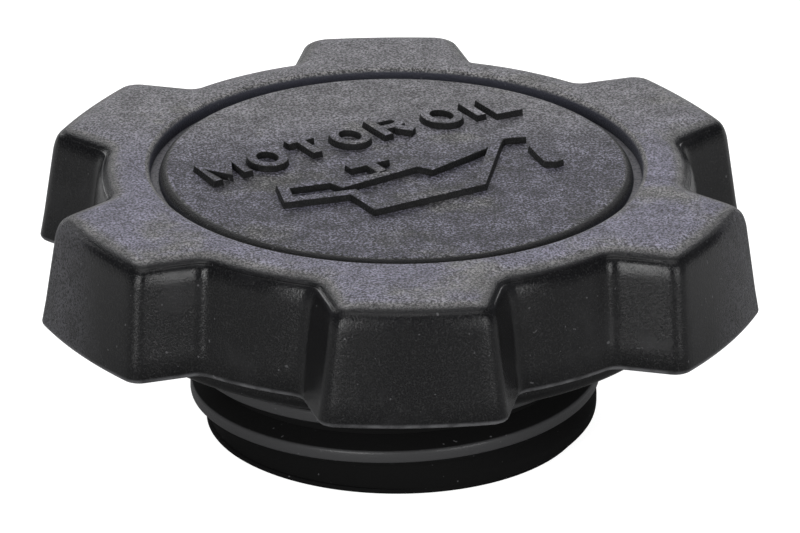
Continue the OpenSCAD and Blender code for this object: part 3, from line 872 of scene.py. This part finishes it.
# %% Sweep the marking
LINE_SOFT, LINE_LEAN, SOFT_BEND = 0.1, 0.1, 0.3
half_line = LINE_W / 2
section_line = [(-half_line - LINE_LEAN, -LINE_SINK), (-half_line, MARK_H - LINE_SOFT)]
section_line += [(LINE_SOFT * SOFT_BEND - half_line, MARK_H - LINE_SOFT * SOFT_BEND)]
section_line += [(LINE_SOFT - half_line, MARK_H)]
section_line += [(-x, y) for x, y in reversed(section_line)]
section_object = curve_object("line_section", [section_line + section_line[:1]])
mark_turn = Matrix.Rotation(MARK_TURN, 2)
placed = [[tuple(mark_turn @ Vector(p)) for p in line] for line in strokes + can_strokes]
widths = [1.0] * len(strokes) + [CAN_LINE] * len(can_strokes)
marking = outward(run_tree("marking", curve_object("strokes", placed, widths), raised_line,
                           section=section_object, ground=DISC_Z * MM, material=plastic.material))
bpy.data.objects.remove(section_object)
shade_smooth(marking, MARK_SHARP)
mark = new_object("raised_marking", marking)
print("marking box:", [[round(c / MM, 2) for c in mark.bound_box[corner]] for corner in (0, 6)])

# %% [markdown]
# ## The rubber seal
# The seal is a flat ring on the neck. It is black too, but softer in its shine and warmer, with
# a fine bloom. It is turned like the middle, with rounded edges.

# %% Finish of the seal
RUBBER_LOW, RUBBER_HIGH = (0.009, 0.009, 0.0088, 1), (0.022, 0.021, 0.020, 1)
rubber = Finish("black_rubber", IOR=1.5)
bloom = rubber.ramp(rubber.noise(700, detail=4), 0.35, 0.75)
rubber.put(Base_Color=rubber.mix(bloom, RUBBER_LOW, RUBBER_HIGH),
           Roughness=rubber.ramp(rubber.noise(2600), 0.3, 0.7, 0.55, 0.75),
           Normal=rubber.bump(rubber.noise(3800), 0.25, 0.00004))
print("finish:", rubber.material.name, len(rubber.tree.nodes), "nodes")

# %% Seal
SEAL_STEPS = 128
seal_in, seal_low = NECK_R + SEAL_CLEARANCE, SEAT_Z - SEAL_H
seal_out = seal_in + SEAL_W
seal_profile = [(seal_in, SEAT_Z), (seal_in, seal_low)]
seal_profile += arc((seal_out - SEAL_ROUND, seal_low + SEAL_ROUND), SEAL_ROUND, -90, 0, 6)
seal_profile += arc((seal_out - SEAL_ROUND, SEAT_Z - SEAL_ROUND), SEAL_ROUND, 0, 90, 6)
seal_mesh = turned("seal", seal_profile, SEAL_STEPS)
seal_mesh.materials.append(rubber.material)
shade_smooth(seal_mesh, MOULD_SHARP)
seal = new_object("rubber_seal", seal_mesh)

# %% [markdown]
# ## Floor and light
# The photograph is a catalogue picture on plain white. The floor looks white to the camera
# because of its own colour and a little glow for camera, glossy and transmission rays, and it
# keeps a soft shadow. The black walls mirror the floor at a low angle, so its glow for glossy
# rays is weaker near the cap, as if the cap stood in a shaded place. Four soft boxes light the
# cap: a wide one behind, whose light grazes the top faces, one above, and two narrow ones low
# on the left and the right in front. The mirror images of those two are the glints under the
# rolled edge.

# %% Floor
FLOOR_REACH, FLOOR_Z, FLOOR_GREY, FLOOR_GLOW = 3.0, -0.00003, (0.35, 0.35, 0.35, 1), 0.92
SHADED_MIDDLE, SHADED_FROM, SHADED_TO, SHADED_ACROSS = (0, 0.05, 0), 0.092, 0.18, (1.4, 1, 1)
SHADED_GLOW, FULL_GLOW = 0.04, 0.62
corners = [(x * FLOOR_REACH, y * FLOOR_REACH, FLOOR_Z) for x, y in ((-1, -1), (1, -1), (1, 1), (-1, 1))]
floor_mesh = bpy.data.meshes.new("floor")
floor_mesh.from_pydata(corners, [], [(0, 1, 2, 3)])
floor = new_object("floor", floor_mesh)
white = Finish("white_floor")
across = white.node("ShaderNodeVectorMath", white.place, SHADED_ACROSS, operation="MULTIPLY")
spread = white.node("ShaderNodeVectorMath", across.outputs[0], SHADED_MIDDLE, operation="DISTANCE")
shaded = white.ramp(spread.outputs["Value"], SHADED_FROM, SHADED_TO, SHADED_GLOW, FULL_GLOW)
rays = white.node("ShaderNodeLightPath").outputs
seen = white.math("MAXIMUM", rays["Is Camera Ray"], white.times(rays["Is Glossy Ray"], shaded))
seen = white.math("MAXIMUM", seen, rays["Is Transmission Ray"])
paint = white.node("ShaderNodeBsdfDiffuse", Color=FLOOR_GREY)
glow = white.node("ShaderNodeEmission", Color=(1, 1, 1, 1), Strength=white.times(seen, FLOOR_GLOW))
both = white.node("ShaderNodeAddShader", paint.outputs[0], glow.outputs[0])
white.feed(white.tree.nodes["Material Output"].inputs["Surface"], both.outputs[0])
white.tree.nodes.remove(white.shader)
floor_mesh.materials.append(white.material)
print("floor:", 2 * FLOOR_REACH, "m across")


# %% Lights
def soft_box(name, place, size, power):
    """An area light that faces the cap."""
    data = bpy.data.lights.new(name, "AREA")
    data.shape = "RECTANGLE"
    data.size, data.size_y = size
    data.energy = power
    box = new_object(name, data)
    box.location = place
    box.rotation_euler = (AIM - Vector(place)).to_track_quat("-Z", "Y").to_euler()


AIM = Vector((0, 0, 0.015))
soft_box("back_box", (-0.1, 0.95, 0.62), (1.5, 0.7), 11)
soft_box("left_box", (-0.366, -0.712, 0.24), (0.15, 0.44), 4.6)
soft_box("right_box", (0.437, -0.670, 0.21), (0.15, 0.38), 2.8)
soft_box("top_box", (0.0, -0.2, 1.1), (0.9, 0.9), 6)
scene = bpy.context.scene
scene.world = bpy.data.worlds.new("studio")
scene.world.use_nodes = True
backdrop = scene.world.node_tree.nodes["Background"]
backdrop.inputs["Color"].default_value = (0.9, 0.92, 1.0, 1)
backdrop.inputs["Strength"].default_value = 0.2
scene.view_settings.view_transform = "Standard"
print("lights:", len(bpy.data.lights), "soft boxes")

# %% [markdown]
# ## Hand the pieces to the frame
# The moulding and the seal stand for their CAD nodes. Everything rides on the one rigid body.

# %% Ride, replace and finish
for piece in (cap, mark, seal):
    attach(piece, "root")
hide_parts("cap_body")
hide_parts("seal_ring")
